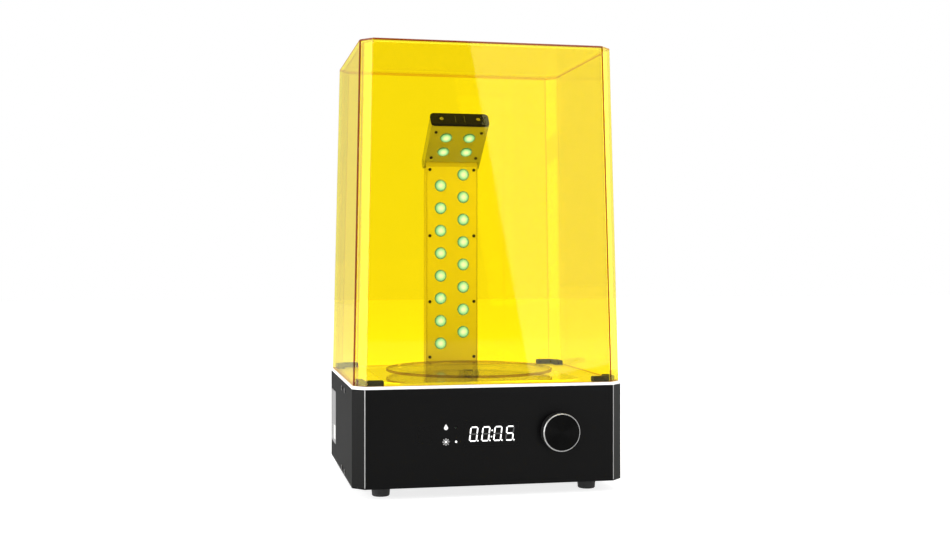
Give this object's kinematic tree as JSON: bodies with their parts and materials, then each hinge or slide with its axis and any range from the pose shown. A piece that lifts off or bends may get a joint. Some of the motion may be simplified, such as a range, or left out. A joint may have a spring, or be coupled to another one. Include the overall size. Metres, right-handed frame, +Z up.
{
  "type": "resin wash and cure station",
  "caption": "Curing station with a metal base, a lit lamp column with a tilting head, a turntable, a control knob and a tinted lift-off cover.",
  "frame": {"origin": "on the ground, at the middle of the whole outline from the knob to the rear rocker", "axes": "+Z up, front with the knob and display at -Y, +X to the right of someone facing the front"},
  "size_m": [0.2916, 0.2574, 0.476],
  "materials": {
    "clear_amber": "clear tinted acrylic, moulded in one piece",
    "black_metal": "satin black paint with a fine grain",
    "bright_metal": "bright brushed top plate",
    "mirror_sheet": "mirror finish",
    "black_plastic": "moulded, fine texture",
    "lamp_metal": "satin anodised",
    "lens": "clear moulded lens",
    "steel": "plain steel",
    "screw_black": "black oxide",
    "rubber": "matt rubber",
    "board": "solder resist",
    "clear_plastic": "clear acrylic",
    "magnet": "nickel plate",
    "brass": "turned brass",
    "label": "blank printed label",
    "smoked": "smoked window"
  },
  "bodies": {
    "base": {"board_spacers": "brass", "bottom_tray": "black_metal", "column_board": "board", "column_lenses": "lens", "column_plate": "lamp_metal", "column_plate_screws": "steel", "column_screws": "steel", "column_shell": "lamp_metal", "control_board": "board", "corner_posts": "black_metal", "cover_locators": "black_plastic", "deck_plate": "bright_metal", "deck_rails": "steel", "deck_spindle": "brass", "display_module": "black_plastic", "display_window": "smoked", "drive_motor": "black_metal", "driver_board": "board", "encoder_body": "black_plastic", "encoder_nut": "brass", "feet": "rubber", "foot_screws": "steel", "front_panel": "black_metal", "indicator_pipes": "clear_plastic", "inner_screws": "steel", "lamp_lead": "rubber", "left_side_panel": "black_metal", "locator_screws": "screw_black", "motor_bracket": "steel", "panel_screws": "screw_black", "post_screws": "screw_black", "power_jack": "black_plastic", "rear_panel": "black_metal", "reflector_sheet": "mirror_sheet", "right_side_panel": "black_metal", "side_label": "label", "switch_housing": "black_plastic", "touch_pad": "smoked"},
    "cover": {"cover": "clear_amber"},
    "lamp_head": {"head_shell": "lamp_metal", "head_plate": "lamp_metal", "head_board": "board", "head_lenses": "lens", "head_plate_screws": "steel", "head_cap": "black_plastic", "cap_screws": "steel", "hinge_pins": "steel"},
    "bush": {"hub_bush": "black_plastic"},
    "turntable": {"turntable_hub": "black_plastic", "hub_magnets": "magnet", "hub_screws": "steel", "turntable_disc": "clear_plastic"},
    "rotor": {"motor_shaft": "steel", "magnet_rotor": "black_plastic", "rotor_magnets": "magnet"},
    "plunger": {"press_plunger": "black_plastic"},
    "knob": {"knob": "black_plastic", "encoder_shaft": "steel"},
    "rocker": {"switch_rocker": "black_plastic"}
  },
  "joints": [
    {"name": "cover_lift", "type": "slide", "parent": "base", "child": "cover", "axis": [0, 0, 1], "range_m": [0, 0.38]},
    {"name": "head_tilt", "type": "hinge", "parent": "base", "child": "lamp_head", "pos_m": [0, 0.10226, 0.3663], "axis": [1, 0, 0], "range_deg": [-50, 40]},
    {"name": "turntable_lift", "type": "slide", "parent": "base", "child": "bush", "axis": [0, 0, 1], "range_m": [0, 0.03]},
    {"name": "turntable_spin", "type": "hinge", "parent": "bush", "child": "turntable", "pos_m": [0, -0.00354, 0.1248], "axis": [0, 0, 1], "continuous": true},
    {"name": "rotor_spin", "type": "hinge", "parent": "base", "child": "rotor", "pos_m": [0, -0.00354, 0.1], "axis": [0, 0, 1], "continuous": true},
    {"name": "knob_press", "type": "slide", "parent": "base", "child": "plunger", "axis": [0, 1, 0], "range_m": [0, 0.0005], "stiffness_N_per_m": 2000, "springref_m": -0.001},
    {"name": "knob_turn", "type": "hinge", "parent": "plunger", "child": "knob", "pos_m": [0.0723, -0.11551, 0.0665], "axis": [0, 1, 0], "continuous": true},
    {"name": "switch_rock", "type": "hinge", "parent": "base", "child": "rocker", "pos_m": [-0.104, 0.12089, 0.04], "axis": [1, 0, 0], "range_deg": [0, 20]}
  ],
  "couplings": [
    {"joint": "rotor_spin", "follows": "turntable_spin", "ratio": 1}
  ]
}
